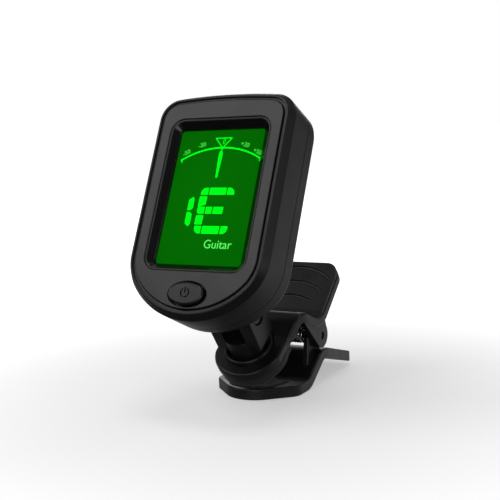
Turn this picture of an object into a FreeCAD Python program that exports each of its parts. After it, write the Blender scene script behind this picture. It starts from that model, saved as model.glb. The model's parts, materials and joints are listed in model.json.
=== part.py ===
import FreeCAD, Part
import math
import os

from FreeCAD import Vector as V

os.makedirs("parts", exist_ok=True)

# Clip on tuner: a display head on a tilting yoke, swivelling on the round end of a spring clip.
# All lengths in mm.  Row frame: +X right, +Y to the back of the clip, +Z up.
# The origin is the centre of the flat rest face under the lower jaw.

# ---- driving dimensions ----
HEAD_W = 30.0            # head width
HEAD_H = 45.0            # head height
HEAD_T = 10.8            # head thickness
SPLIT_Z = -7.1           # parting plane of the two shells, from the face
SEAM = 0.2               # open seam between the two shells
WALL = 1.3               # shell wall
STEP = 1.5               # depth of the bevel round the face
BEVEL = 0.9              # width of the bevel round the face
PLATE_INSET = 1.9        # face edge to front plate edge
PLATE_T = 0.9
GROOVE_DEPTH = 0.4       # groove between the face ring and the front plate
CORNER_R = 5.0           # top corners of the face
CROWN_R = 5.7            # top corners at the parting plane, rounder than the face's
WIN_W = 22.1             # window opening in the front plate
WIN_LOW = -13.5
WIN_HIGH = 17.0
LCD_W = 18.4             # lit area seen through the bezel
LCD_LOW = -11.9
LCD_HIGH = 15.0
LCD_DEPTH = 1.4
LENS_TOP = -1.47         # clear lens, from the face
LENS_LOW = -1.80
PANEL_TOP = -1.92        # display glass, with room above it for the lit marks
PANEL_LOW = -3.4
LIGHT_TOP = -3.42        # light guide under the display
BOARD_TOP = -4.9
BUTTON_Y = -17.8
BUTTON_W = 7.6
BUTTON_H = 4.2
BUTTON_PROUD = 0.75      # how far the button stands out of the plate
MARK_DEPTH = 0.25        # engraving on the button
PAD_ANGLE = 35.0         # slope of the upper jaw's round end when the clip is shut
FACE_ANGLE = 29.66       # angle between the face and the round end
RING_Y = -2.0            # centre of the round end, in the row frame
RING_Z = 10.0
TILT_D = 0.6             # tilt pin, along and above the round end
TILT_H = 9.3
TILT_IN_HEAD = (-16.5, -18.3)
PIN_Y = 12.8             # jaw hinge pin
PIN_Z = 10.0
PIN_R = 0.8
UPPER_T = 2.1            # plate thickness of the upper jaw
LOWER_T = 2.3            # plate thickness of the lower jaw
PAD_T = 1.8              # thickness of the upper pad
JAW_HALF = 9.6           # half width at the levers
PAD_R = 7.5              # radius of the round end
CELL_R = 10.0            # coin cell
CELL_T = 3.2
CELL_Y = 4.0
FIT = 0.05               # radial clearance of turning fits
GAP = 0.3                # clearance between pieces that move apart
UPPER_EDGE = 0.45        # rounded edges of the upper jaw
LOWER_EDGE = 0.3         # rounded edges of the lower jaw
EAR_EDGE = 0.25          # rounded edges of the lower jaw's ears
CASE_EDGE = 0.3          # rounded edges of the casing's bevel

# ---- local frames ----
SIN_P = math.sin(math.radians(PAD_ANGLE))
COS_P = math.cos(math.radians(PAD_ANGLE))
PAD_PLACE = FreeCAD.Placement(V(0, RING_Y, RING_Z), FreeCAD.Rotation(V(1, 0, 0), PAD_ANGLE))


def head_place():
    """Head frame (x right, y up the face, z out of the face) placed so that its tilt axis meets the yoke's."""
    turn = FreeCAD.Rotation(V(1, 0, 0), PAD_ANGLE + FACE_ANGLE)
    axis = PAD_PLACE.multVec(V(0, TILT_D, TILT_H))
    arm = turn.multVec(V(0, TILT_IN_HEAD[0], TILT_IN_HEAD[1]))
    return FreeCAD.Placement(axis - arm, turn)


HEAD_PLACE = head_place()
done = []


def save(name, shape, place=None):
    """Move a piece from its local frame to the row frame and write it out."""
    out = shape.copy()
    if place is not None:
        out.Placement = place.multiply(out.Placement)
    out.exportStep("parts/" + name + ".step")
    done.append((name, round(out.Volume, 2), len(out.Solids)))


# ---- drawing helpers ----
def arc(cx, cy, r, a0, a1, z):
    """Arc in a plane of constant z, from angle a0 to a1 in degrees."""
    pts = []
    for a in (a0, (a0 + a1) / 2.0, a1):
        t = math.radians(a)
        pts.append(V(cx + r * math.cos(t), cy + r * math.sin(t), z))
    return Part.Arc(pts[0], pts[1], pts[2]).toShape()


def join(edges):
    """Wire through a list of edges that are given in order."""
    return Part.Wire(Part.__sortEdges__(edges))


def line(a, b):
    return Part.makeLine(a, b)


def head_outline(inset, z, corner_r=CORNER_R):
    """Head outline: near-flat top, round top corners and a deep rounded chin, moved inwards by an inset."""
    chin_r = 17.0
    cheek_r = 9.5
    top_r = 120.0
    half = HEAD_W / 2.0
    low = -HEAD_H / 2.0
    chin_y = low + chin_r
    cheek_x = half - cheek_r
    cheek_y = chin_y - math.sqrt((chin_r - cheek_r) ** 2 - cheek_x ** 2)
    top_y = HEAD_H / 2.0 - top_r
    corner_x = half - corner_r
    corner_y = top_y + math.sqrt((top_r - corner_r) ** 2 - corner_x ** 2)
    a_chin = math.degrees(math.atan2(cheek_y - chin_y, cheek_x))
    a_top = math.degrees(math.atan2(corner_y - top_y, corner_x))
    x = half - inset
    edges = [arc(cheek_x, cheek_y, cheek_r - inset, a_chin, 0, z)]
    edges.append(line(V(x, cheek_y, z), V(x, corner_y, z)))
    edges.append(arc(corner_x, corner_y, corner_r - inset, 0, a_top, z))
    edges.append(arc(0, top_y, top_r - inset, a_top, 180 - a_top, z))
    edges.append(arc(-corner_x, corner_y, corner_r - inset, 180 - a_top, 180, z))
    edges.append(line(V(-x, corner_y, z), V(-x, cheek_y, z)))
    edges.append(arc(-cheek_x, cheek_y, cheek_r - inset, 180, 180 - a_chin, z))
    edges.append(arc(0, chin_y, chin_r - inset, -180 - a_chin, a_chin, z))
    return join(edges)


def round_rect(w, low, high, r, z, cx=0.0):
    """Rounded rectangle wire, width w, from low to high."""
    x = w / 2.0
    edges = [line(V(cx + x, low + r, z), V(cx + x, high - r, z))]
    edges.append(arc(cx + x - r, high - r, r, 0, 90, z))
    edges.append(line(V(cx + x - r, high, z), V(cx - x + r, high, z)))
    edges.append(arc(cx - x + r, high - r, r, 90, 180, z))
    edges.append(line(V(cx - x, high - r, z), V(cx - x, low + r, z)))
    edges.append(arc(cx - x + r, low + r, r, 180, 270, z))
    edges.append(line(V(cx - x + r, low, z), V(cx + x - r, low, z)))
    edges.append(arc(cx + x - r, low + r, r, 270, 360, z))
    return join(edges)


def oval(w, h, cy, z):
    """Ellipse wire, w wide and h high."""
    e = Part.Ellipse(V(0, cy, z), w / 2.0, h / 2.0)
    return Part.Wire([e.toShape()])


def prism(wire, height):
    return Part.Face(wire).extrude(V(0, 0, height))


def loft(wires):
    return Part.makeLoft(wires, True, True)


def cyl(r, h, at, axis=V(0, 0, 1)):
    return Part.makeCylinder(r, h, at, axis)


def box(x0, x1, y0, y1, z0, z1):
    return Part.makeBox(x1 - x0, y1 - y0, z1 - z0, V(x0, y0, z0))


def offset_points(pts, t):
    """Open polyline moved sideways by t to its left, with mitred corners."""
    out = []
    for i, p in enumerate(pts):
        dirs = []
        if i > 0:
            dirs.append((p[0] - pts[i - 1][0], p[1] - pts[i - 1][1]))
        if i < len(pts) - 1:
            dirs.append((pts[i + 1][0] - p[0], pts[i + 1][1] - p[1]))
        normals = []
        for dx, dy in dirs:
            n = math.hypot(dx, dy)
            normals.append((-dy / n, dx / n))
        nx = sum(n[0] for n in normals) / len(normals)
        ny = sum(n[1] for n in normals) / len(normals)
        k = t / (nx * nx + ny * ny)
        out.append((p[0] + nx * k, p[1] + ny * k))
    return out


def path_edges(points, radii):
    """Edges through a list of points, each inner corner rounded by its radius."""
    edges = []
    last = points[0]
    for i in range(1, len(points) - 1):
        here = points[i]
        back = points[i - 1] - here
        ahead = points[i + 1] - here
        back.normalize()
        ahead.normalize()
        half = back.getAngle(ahead) / 2.0
        reach = radii[i] / math.tan(half)
        middle = back + ahead
        middle.normalize()
        start = here + back * reach
        stop = here + ahead * reach
        centre = here + middle * (radii[i] / math.sin(half))
        edges.append(line(last, start))
        edges.append(Part.Arc(start, centre - middle * radii[i], stop).toShape())
        last = stop
    edges.append(line(last, points[-1]))
    return edges


def strip(pts, radii, t, half):
    """Bent strip: a (y, z) path thickened to its right by t, and pulled across the width."""
    under = offset_points(pts, -t)
    turned = []
    for i, r in enumerate(radii):
        if 0 < i < len(pts) - 1:
            ax = pts[i][0] - pts[i - 1][0]
            ay = pts[i][1] - pts[i - 1][1]
            bx = pts[i + 1][0] - pts[i][0]
            by = pts[i + 1][1] - pts[i][1]
            r = r - t if ax * by - ay * bx < 0 else r + t
        turned.append(r)
    top = [V(-half, y, z) for y, z in pts]
    low = [V(-half, y, z) for y, z in under]
    edges = path_edges(top, radii) + path_edges(low, turned)
    edges.append(line(top[0], low[0]))
    edges.append(line(top[-1], low[-1]))
    return Part.Face(join(edges)).extrude(V(2 * half, 0, 0))


def mirrored_plan(front, side, radii, z, height):
    """Prism from a front edge and a right side path that is mirrored to the left."""
    right = [V(x, y, z) for x, y in side]
    left = [V(-x, y, z) for x, y in side]
    edges = [front] + path_edges(right, radii) + path_edges(left, radii)
    edges.append(line(right[-1], left[-1]))
    return prism(join(edges), height)


def soften(body, radius, shortest):
    """Round every edge of a body that is longer than a given length."""
    body = body.removeSplitter()
    return body.makeFillet(radius, [e for e in body.Edges if e.Length > shortest])


def soften_level(body, radius, levels):
    """Round the edges that lie wholly at one of the given heights."""
    picked = []
    for e in body.Edges:
        b = e.BoundBox
        if any(abs(b.ZMin - z) < 0.001 and abs(b.ZMax - z) < 0.001 for z in levels):
            picked.append(e)
    return body.makeFillet(radius, picked)


def poly_face(points):
    vs = [V(*p) for p in points]
    return Part.Face(Part.makePolygon(vs + [vs[0]]))


# ---- head: casing ----
SCREWS = [(-11.9, 17.6), (11.9, 17.6), (-11.9, -9.2), (11.9, -9.2)]


def front_shell():
    """Face ring with a bevel, a shelf for the front plate and a wall down to the parting plane."""
    outer = loft([head_outline(0, SPLIT_Z, CROWN_R), head_outline(0, -STEP)])
    face = loft([head_outline(0, -STEP), head_outline(BEVEL, 0)])
    body = soften_level(outer.fuse(face).removeSplitter(), CASE_EDGE, (-STEP, 0.0))
    body = body.cut(prism(head_outline(WALL, SPLIT_Z - 1), -SPLIT_Z + 1 - 1.9))
    body = body.cut(prism(head_outline(1.3, -GROOVE_DEPTH), 2))
    body = body.cut(prism(head_outline(PLATE_INSET - 0.1, -PLATE_T), 2))
    body = body.cut(prism(round_rect(24.3, -15.0, 18.4, 2.5, -3), 4))
    body = body.cut(prism(oval(9.4, 6.0, BUTTON_Y, -3), 4))
    for x, y in SCREWS:
        post = cyl(1.7, -SPLIT_Z - 1.9, V(x, y, SPLIT_Z + 0.1))
        body = body.fuse(post).cut(cyl(0.6, 4.5, V(x, y, SPLIT_Z)))
    return body.removeSplitter()


def back_shell():
    """Rear tray with a tongue into the front shell, a battery bay, screw holes and the tilt lug."""
    low = -HEAD_T
    top = SPLIT_Z - SEAM
    body = loft([head_outline(0, low + 0.9, CROWN_R + 0.3), head_outline(0, top, CROWN_R)])
    edge = head_outline(0.2, low + 0.35, CROWN_R + 0.5)
    body = body.fuse(loft([head_outline(0.7, low, CROWN_R + 0.8), edge]))
    body = body.fuse(loft([edge, head_outline(0, low + 0.9, CROWN_R + 0.3)]))
    body = body.cut(prism(head_outline(WALL, low + 1.1), 6))
    tongue = prism(head_outline(WALL + 0.02, low + 1.0), -low - 1.0 + SPLIT_Z + 0.9)
    tongue = tongue.cut(prism(head_outline(WALL + 0.8, low), 8))
    for x, y in SCREWS:
        tongue = tongue.cut(cyl(2.0, 8, V(x, y, low + 1.1)))
        body = body.fuse(cyl(1.9, top - low - 1.0, V(x, y, low + 0.5)))
    body = body.fuse(tongue)
    for x, y in SCREWS:
        body = body.cut(cyl(0.9, 8, V(x, y, low - 1)))
        body = body.cut(cyl(1.6, 2.2, V(x, y, low - 1)))
    bay = cyl(CELL_R + 1.3, 4.2, V(0, CELL_Y, low)).cut(cyl(CELL_R + 0.2, 6, V(0, CELL_Y, low)))
    body = body.fuse(bay)
    body = body.cut(cyl(CELL_R + 0.2, 6, V(0, CELL_Y, low - 1)))
    body = body.cut(cyl(CELL_R + 0.9, 1.6, V(0, CELL_Y, low - 1)))
    body = body.cut(box(-2.3, 2.3, CELL_Y + CELL_R - 0.5, CELL_Y + CELL_R + 0.6, -9.5, -5.0))
    ty, tz = TILT_IN_HEAD
    lug = box(-2.1, 2.1, ty - 3.0, ty + 3.0, tz, low + 0.6).fuse(cyl(3.0, 4.2, V(-2.1, ty, tz), V(1, 0, 0)))
    lug = soften(lug, 0.3, 4.5)
    neck = round_rect(4.2, ty - 3.0, ty + 3.0, 0.5, low - 1.2)
    foot = loft([neck, round_rect(6.6, ty - 4.2, ty + 4.2, 0.8, low + 0.1)])
    body = body.fuse(lug).fuse(foot)
    body = body.cut(cyl(1.2 + FIT, 6, V(-3, ty, tz), V(1, 0, 0)))
    return body.removeSplitter()


def front_plate():
    """Flat face plate with the window and the oval button hole."""
    body = prism(head_outline(PLATE_INSET, -PLATE_T), PLATE_T)
    body = body.cut(prism(round_rect(WIN_W, WIN_LOW, WIN_HIGH, 2.8, -2), 4))
    body = body.cut(prism(oval(BUTTON_W + 2 * GAP, BUTTON_H + 2 * GAP, BUTTON_Y, -2), 4))
    return soften_level(body, 0.15, (0.0,))


def window_bezel():
    """Sloped frame that falls from the window edge to the display."""
    outer = prism(round_rect(WIN_W, WIN_LOW, WIN_HIGH, 2.8, -LCD_DEPTH), LCD_DEPTH - 0.15)
    flange = prism(round_rect(24.2, -14.9, 18.3, 2.4, -1.45), 0.45)
    low = round_rect(LCD_W, LCD_LOW, LCD_HIGH, 0.6, -LCD_DEPTH)
    funnel = loft([low, round_rect(WIN_W - 0.7, WIN_LOW + 0.35, WIN_HIGH - 0.35, 2.5, -0.15)])
    well = prism(round_rect(LCD_W, LCD_LOW, LCD_HIGH, 0.6, -3), 1.6)
    return outer.fuse(flange).cut(funnel).cut(well).removeSplitter()


# ---- head: display and electronics ----
def slab(w, low, high, z0, z1, r=0.4):
    return prism(round_rect(w, low, high, r, z0), z1 - z0)


def circuit_board():
    """Board that follows the casing, notched for the screw posts and the coin cell bay."""
    body = prism(head_outline(WALL + 1.0, BOARD_TOP - 1.0), 1.0)
    for x, y in SCREWS:
        body = body.cut(cyl(2.1, 4, V(x, y, -7)))
    return body


def display_connector():
    """Elastic contact strip between the board and the lower edge of the display."""
    return slab(16.0, -14.3, -13.1, BOARD_TOP + 0.02, LIGHT_TOP, 0.3)


def tuner_chip():
    """Square package under the board, with a round index dimple."""
    body = box(-2.5, 2.5, -13.4, -8.4, -6.7, -5.9)
    return body.cut(cyl(0.4, 0.3, V(-1.7, -9.2, -6.85)))


def power_button():
    """Oval cap with a flange under the plate and a stem down to the switch."""
    rim = BUTTON_PROUD - 0.2
    cap = loft([oval(BUTTON_W, BUTTON_H, BUTTON_Y, -1.6), oval(BUTTON_W, BUTTON_H, BUTTON_Y, rim)])
    crown_edge = oval(BUTTON_W - 0.6, BUTTON_H - 0.6, BUTTON_Y, BUTTON_PROUD)
    crown = loft([oval(BUTTON_W, BUTTON_H, BUTTON_Y, rim), crown_edge])
    flange = prism(oval(BUTTON_W + 1.2, BUTTON_H + 0.9, BUTTON_Y, -1.6), 0.3)
    stem = cyl(1.0, 1.5, V(0, BUTTON_Y, -2.9))
    body = cap.fuse(crown).fuse(flange).fuse(stem).removeSplitter()
    return body.cut(power_mark(BUTTON_PROUD - MARK_DEPTH))


def power_mark(z):
    """Tool for the engraved on/off mark: a ring that is open at the top, and a short bar."""
    ring = cyl(0.95, 1, V(0, BUTTON_Y + 0.1, z)).cut(cyl(0.73, 3, V(0, BUTTON_Y + 0.1, z - 1)))
    ring = ring.cut(box(-0.45, 0.45, BUTTON_Y + 0.1, BUTTON_Y + 2, z - 1, z + 2))
    return ring.fuse(box(-0.12, 0.12, BUTTON_Y + 0.1, BUTTON_Y + 1.15, z, z + 1))


def button_switch():
    """Square tact switch with a short round plunger."""
    body = box(-2.0, 2.0, BUTTON_Y - 1.6, BUTTON_Y + 1.6, -4.9, -4.0)
    return body.fuse(cyl(0.9, 0.4, V(0, BUTTON_Y, -4.1)))


def battery_cell():
    """Coin cell: wide case with a smaller raised face."""
    body = cyl(CELL_R, CELL_T - 0.3, V(0, CELL_Y, -9.75))
    return body.fuse(cyl(CELL_R - 1.2, CELL_T, V(0, CELL_Y, -9.75))).removeSplitter()


def battery_contact_neg():
    """Flat leaf with two raised fingers under the cell."""
    leaf = box(-1.2, 1.2, CELL_Y - 4.5, CELL_Y + 4.5, -6.45, -6.2)
    foot = box(-1.2, 1.2, CELL_Y - 5.2, CELL_Y - 4.5, -6.45, -5.9)
    return leaf.fuse(foot).removeSplitter()


def battery_contact_pos():
    """Side contact that touches the rim of the cell."""
    return box(-2.0, 2.0, CELL_Y + CELL_R + 0.02, CELL_Y + CELL_R + 0.27, -9.2, -5.9)


def battery_cap():
    """Round cover with a coin slot and a step that fills the bay mouth."""
    low = -HEAD_T
    body = cyl(CELL_R + 0.8, 0.5, V(0, CELL_Y, low + 0.05)).fuse(cyl(CELL_R + 0.1, 0.9, V(0, CELL_Y, low + 0.05)))
    body = body.cut(box(-4.5, 4.5, CELL_Y - 0.8, CELL_Y + 0.8, low - 1, low + 0.5))
    return body.removeSplitter()


def piezo_sensor():
    """Thin disc bonded inside the back shell beside the tilt lug."""
    return cyl(3.2, 0.45, V(0, -15.2, -9.7))


def case_screws():
    """Four small screws from the back shell into the front shell's posts."""
    group = []
    for x, y in SCREWS:
        head = cyl(1.45, 0.9, V(x, y, -10.5)).cut(box(x - 1.0, x + 1.0, y - 0.15, y + 0.15, -11, -10.2))
        head = head.cut(box(x - 0.15, x + 0.15, y - 1.0, y + 1.0, -11, -10.2))
        group.append(head.fuse(cyl(0.6, 6.4, V(x, y, -9.9))))
    return Part.makeCompound(group)


# ---- yoke and swivel ----
def yoke():
    """Two cheeks on a round neck, with a spigot through the jaw."""
    block = box(-5.0, 5.0, -3.2, 3.8, 2.4, TILT_H).fuse(cyl(3.5, 10.0, V(-5.0, 0.3, TILT_H), V(1, 0, 0)))
    block = soften(block, 0.45, 6.0)
    body = block.fuse(cyl(4.0, 5.0, V(0, 0, GAP)))
    body = body.cut(box(-2.4, 2.4, -6, 6, 4.8, 16))
    body = body.cut(cyl(4.5, 4.8, V(-2.4, TILT_D, TILT_H), V(1, 0, 0)))
    body = body.fuse(cyl(2.0, 1.6, V(0, 0, -1.3)))
    body = body.cut(cyl(1.2, 12, V(-6, TILT_D, TILT_H), V(1, 0, 0)))
    for x in (-6, 4.2):
        body = body.cut(cyl(2.2, 1.8, V(x, TILT_D, TILT_H), V(1, 0, 0)))
    body = body.cut(cyl(0.7, 4.2, V(0, 0, -1.4)))
    return body.removeSplitter()


def tilt_pin():
    """Shouldered pin through both cheeks and the lug."""
    body = cyl(1.2, 8.4, V(-4.2, TILT_D, TILT_H), V(1, 0, 0))
    body = body.fuse(cyl(1.9, 0.5, V(4.2, TILT_D, TILT_H), V(1, 0, 0)))
    return body.cut(box(4.5, 5.0, TILT_D - 1.3, TILT_D + 1.3, TILT_H - 0.2, TILT_H + 0.2))


def tilt_nut():
    """Round nut on the far end of the tilt pin."""
    body = cyl(1.9, 0.5, V(-4.7, TILT_D, TILT_H), V(1, 0, 0))
    return body


def swivel_ring():
    """Rounded collar round the neck, seated in the jaw."""
    ring = Part.makeTorus(4.75, 0.42, V(0, 0, 0.55))
    seat = cyl(5.17, 0.95, V(0, 0, -0.4)).cut(cyl(4.33, 3, V(0, 0, -1)))
    return ring.fuse(seat).removeSplitter()


def swivel_washer():
    return cyl(3.1, 0.3, V(0, 0, -1.6)).cut(cyl(0.75, 2, V(0, 0, -2.5)))


def swivel_screw():
    """Pan head screw up into the neck, held inside the thickness of the jaw."""
    head = cyl(1.8, 0.45, V(0, 0, -2.05)).cut(box(-1.3, 1.3, -0.2, 0.2, -2.2, -1.85))
    return head.fuse(cyl(0.7, 4.2, V(0, 0, -1.65)))


# ---- clip ----
def pad_to_row(d, h):
    """Side view point of the round end's frame, in row (y, z)."""
    return (RING_Y + d * COS_P - h * SIN_P, RING_Z + d * SIN_P + h * COS_P)


UPPER_PATH = [pad_to_row(-9.0, 0), pad_to_row(3.2, 0), (RING_Y + 5.1, RING_Z + 7.2)]
UPPER_PATH += [(RING_Y + 13.8, RING_Z + 3.6), (RING_Y + 25.4, RING_Z + 14.0)]
UPPER_R = [0, 4.0, 2.6, 4.0, 0]
LOWER_PATH = [(RING_Y + 31.9, RING_Z - 7.3), (RING_Y + 14.9, RING_Z - 2.5)]
LOWER_PATH += [(RING_Y + 7.65, LOWER_T), (RING_Y - 6.0, LOWER_T)]
LOWER_R = [0, 4.5, 3.2, 0]


def upper_plan():
    """Plan of the upper jaw seen along the swivel axis: round end, flare, lever with cut corners."""
    a0 = -math.degrees(math.acos(7.3 / PAD_R))
    start = (7.3, PAD_R * math.sin(math.radians(a0)))
    front = arc(0, 0, PAD_R, 180 - a0, 360 + a0, -20)
    side = [start, (7.3, 2.8), (JAW_HALF, 8.4), (JAW_HALF, 25.8), (JAW_HALF - 2.3, 28.9), (0.5, 28.9)]
    return mirrored_plan(front, side, [0, 5.0, 4.0, 2.8, 2.8, 0], -20, 50)


def upper_ear(side):
    """Triangular ear from the crest down to the hinge pin, on one side."""
    y = RING_Y
    z = RING_Z
    x = 8.1 if side > 0 else -9.3
    lobe = 2.6
    points = [(x, y + 6.3, z + 5.3), (x, y + 6.9, z + 4.0), (x, PIN_Y - 0.7 * lobe, PIN_Z - 0.7 * lobe)]
    points += [(x, PIN_Y, PIN_Z - 0.2), (x, PIN_Y + 0.99 * lobe, PIN_Z), (x, y + 16.0, z + 4.0), (x, y + 13.4, z + 3.1)]
    web = poly_face(points).extrude(V(1.2, 0, 0))
    return web.fuse(cyl(lobe, 1.2, V(x, PIN_Y, PIN_Z), V(1, 0, 0)))


def upper_jaw():
    """Bent strip with the round end, crest, dip and thumb lever; two ears carry the hinge pin."""
    body = strip(UPPER_PATH, UPPER_R, UPPER_T, JAW_HALF)
    plan = upper_plan()
    plan.Placement = PAD_PLACE
    body = soften(body.common(plan), UPPER_EDGE, UPPER_T * 1.05)
    ears = upper_ear(1).fuse(upper_ear(-1))
    body = body.fuse(ears)
    tools = [cyl(2.0 + FIT, 4, V(0, 0, -3)), cyl(3.4, 2, V(0, 0, -3.0)), cyl(5.22, 4, V(0, 0, -0.4))]
    for tool in tools:
        tool.Placement = PAD_PLACE.multiply(tool.Placement)
        body = body.cut(tool)
    body = body.cut(cyl(PIN_R + FIT, 24, V(-12, PIN_Y, PIN_Z), V(1, 0, 0)))
    for groove in grip_grooves():
        body = body.cut(groove)
    return body.removeSplitter()


def grip_grooves():
    """Three nested curved grip grooves across the thumb lever, shortest nearest the dip."""
    foot = V(0, UPPER_PATH[3][0], UPPER_PATH[3][1])
    tip = V(0, UPPER_PATH[4][0], UPPER_PATH[4][1])
    rise = math.degrees(math.atan2(tip.z - foot.z, tip.y - foot.y))
    place = FreeCAD.Placement(foot, FreeCAD.Rotation(V(1, 0, 0), rise))
    grooves = []
    for at, reach in ((6.0, 5.2), (9.9, 6.7), (13.9, 7.8)):
        r = 11.5
        spread = math.degrees(math.asin(reach / r))
        spine = Part.Wire([arc(0, at - r, r, 90 - spread, 90 + spread, 0)])
        end = spine.Edges[0]
        start = end.valueAt(end.FirstParameter)
        heading = end.tangentAt(end.FirstParameter)
        ring = Part.Wire([Part.Circle(start, heading, 0.38).toShape()])
        tool = spine.makePipeShell([ring], True, True)
        tool.Placement = place
        grooves.append(tool)
    return grooves


def upper_pad():
    """Rubber pad under the round end, cut square behind."""
    low = -UPPER_T - PAD_T
    disc = cyl(PAD_R - 0.25, PAD_T, V(0, 0, low))
    body = disc.common(box(-10, 10, -10, 3.4, -5, 0))
    body = body.fuse(box(-7.05, 7.05, 0, 3.4, low, -UPPER_T)).removeSplitter()
    body = soften_level(body, 0.4, (low,))
    return body.cut(cyl(2.2, 0.6, V(0, 0, -UPPER_T - 0.6)))


def lower_plan():
    """Plan of the lower jaw: rounded front, flare, straight sides and a tail with rounded corners."""
    y = RING_Y
    w = JAW_HALF - 0.1
    tip = y - 1.9 - 4.6 * math.tan(math.atan2(4.5, w - 4.6) / 2.0)
    front = Part.Arc(V(-4.6, y - 1.9, -20), V(0, tip, -20), V(4.6, y - 1.9, -20)).toShape()
    side = [(4.6, y - 1.9), (w, y + 2.6), (w, y + 17.0), (8.4, y + 31.8), (0.5, y + 31.8)]
    return mirrored_plan(front, side, [0, 3.0, 8.0, 2.0, 0], -20, 50)


def lower_ear(side):
    """Upright ear on the ramp of the lower jaw, with a straight front edge."""
    y = RING_Y
    x = 6.6 if side > 0 else -7.8
    points = [(x, y + 10.4, RING_Z - 6.6), (x, y + 11.2, RING_Z + 0.2), (x, PIN_Y - 1.2, PIN_Z + 1.2)]
    points += [(x, PIN_Y + 1.7, PIN_Z), (x, PIN_Y + 1.7, RING_Z - 4.2), (x, y + 13.4, RING_Z - 4.8)]
    web = poly_face(points).extrude(V(1.2, 0, 0))
    return soften(web.fuse(cyl(1.7, 1.2, V(x, PIN_Y, PIN_Z), V(1, 0, 0))), EAR_EDGE, 1.25)


def lower_jaw():
    """Floor with a flat rest face, a ramp with two ears and a tail lever."""
    body = strip(LOWER_PATH, LOWER_R, -LOWER_T, JAW_HALF)
    body = soften(body.common(lower_plan()), LOWER_EDGE, LOWER_T * 1.05)
    body = body.fuse(lower_ear(1)).fuse(lower_ear(-1))
    body = body.cut(cyl(PIN_R, 24, V(-12, PIN_Y, PIN_Z), V(1, 0, 0)))
    body = body.cut(lower_pad_blank(0.0, LOWER_T - 0.9, LOWER_T + 0.2))
    return body.removeSplitter()


def lower_pad_blank(inset, low, high):
    """Shape of the lower pad, and of the recess that holds it."""
    y = RING_Y
    w = 5.0 - inset
    arc_edge = Part.Arc(V(-w, y - 0.2, low), V(0, y - 2.3 + inset, low), V(w, y - 0.2, low)).toShape()
    edges = [arc_edge, line(V(w, y - 0.2, low), V(6.4 - inset, y + 4.6 - inset, low))]
    edges.append(line(V(-w, y - 0.2, low), V(-6.4 + inset, y + 4.6 - inset, low)))
    edges.append(line(V(6.4 - inset, y + 4.6 - inset, low), V(-6.4 + inset, y + 4.6 - inset, low)))
    return prism(join(edges), high - low)


def lower_pad():
    """Rubber pad let into the floor, standing a little proud."""
    return lower_pad_blank(0.02, LOWER_T - 0.9, LOWER_T + 0.25)


def hinge_pin():
    """Steel pin through all four ears."""
    return cyl(PIN_R, 18.0, V(-9.0, PIN_Y, PIN_Z), V(1, 0, 0))


def torsion_spring():
    """Close-wound coil round the hinge pin; one leg lies on the tail, the other under the thumb lever."""
    wire = 0.25
    mean = 1.4
    turns = 8
    pitch = 0.62
    length = turns * pitch
    helix = Part.makeHelix(pitch, length, mean)
    helix.Placement = FreeCAD.Placement(V(-length / 2.0, PIN_Y, PIN_Z), FreeCAD.Rotation(V(0, 1, 0), 90))
    first = helix.Edges[0]
    start = first.valueAt(first.FirstParameter)
    heading = first.tangentAt(first.FirstParameter)
    ring = Part.Wire([Part.Circle(start, heading, wire).toShape()])
    body = Part.Wire(helix.Edges).makePipeShell([ring], True, True)
    x0 = -length / 2.0
    low_leg = cyl(wire, 7.0, V(x0, PIN_Y + 0.2, PIN_Z - mean), V(0, 0.931, -0.366))
    high_leg = cyl(wire, 6.0, V(x0 + length, PIN_Y + 0.4, PIN_Z + 1.35), V(0, 0.77, 0.64))
    return Part.makeCompound([body, low_leg, high_leg])


save("front_plate", front_plate(), HEAD_PLACE)
save("front_shell", front_shell(), HEAD_PLACE)
save("back_shell", back_shell(), HEAD_PLACE)
save("window_bezel", window_bezel(), HEAD_PLACE)
save("display_lens", slab(20.0, -12.7, 15.8, LENS_LOW, LENS_TOP), HEAD_PLACE)
save("lcd_panel", slab(20.0, -14.4, 15.8, PANEL_LOW, PANEL_TOP), HEAD_PLACE)
save("backlight", slab(20.0, -12.9, 15.8, BOARD_TOP + 0.02, LIGHT_TOP), HEAD_PLACE)
save("display_connector", display_connector(), HEAD_PLACE)
save("circuit_board", circuit_board(), HEAD_PLACE)
save("tuner_chip", tuner_chip(), HEAD_PLACE)
save("power_button", power_button(), HEAD_PLACE)
save("button_switch", button_switch(), HEAD_PLACE)
save("battery_cell", battery_cell(), HEAD_PLACE)
save("battery_contact_neg", battery_contact_neg(), HEAD_PLACE)
save("battery_contact_pos", battery_contact_pos(), HEAD_PLACE)
save("battery_cap", battery_cap(), HEAD_PLACE)
save("piezo_sensor", piezo_sensor(), HEAD_PLACE)
save("case_screws", case_screws(), HEAD_PLACE)
save("yoke", yoke(), PAD_PLACE)
save("tilt_pin", tilt_pin(), PAD_PLACE)
save("tilt_nut", tilt_nut(), PAD_PLACE)
save("swivel_ring", swivel_ring(), PAD_PLACE)
save("swivel_washer", swivel_washer(), PAD_PLACE)
save("swivel_screw", swivel_screw(), PAD_PLACE)
save("upper_jaw", upper_jaw())
save("upper_pad", upper_pad(), PAD_PLACE)
save("lower_jaw", lower_jaw())
save("lower_pad", lower_pad())
save("hinge_pin", hinge_pin())
save("torsion_spring", torsion_spring())

for row in done:
    print(row[0], "volume", row[1], "solids", row[2])
print("tilt axis", PAD_PLACE.multVec(V(0, TILT_D, TILT_H)))
print("head centre", HEAD_PLACE.multVec(V(0, 0, 0)))
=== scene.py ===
# %% [markdown]
# # Clip on tuner
# A clip on tuner is a small lit display on a spring clip. A player pinches the clip onto the
# headstock of an instrument, turns and tilts the head until the display faces them, and plucks.
# The mechanical parts arrive as a finished model. Here they get their finishes, the display
# gets its lit marks, and everything is set in a plain studio. All lengths are in metres, so
# millimetres go through the small function `mm`.

# %% Load the model
import json
import math

import bmesh
import bpy
from mathutils import Matrix, Vector


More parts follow.
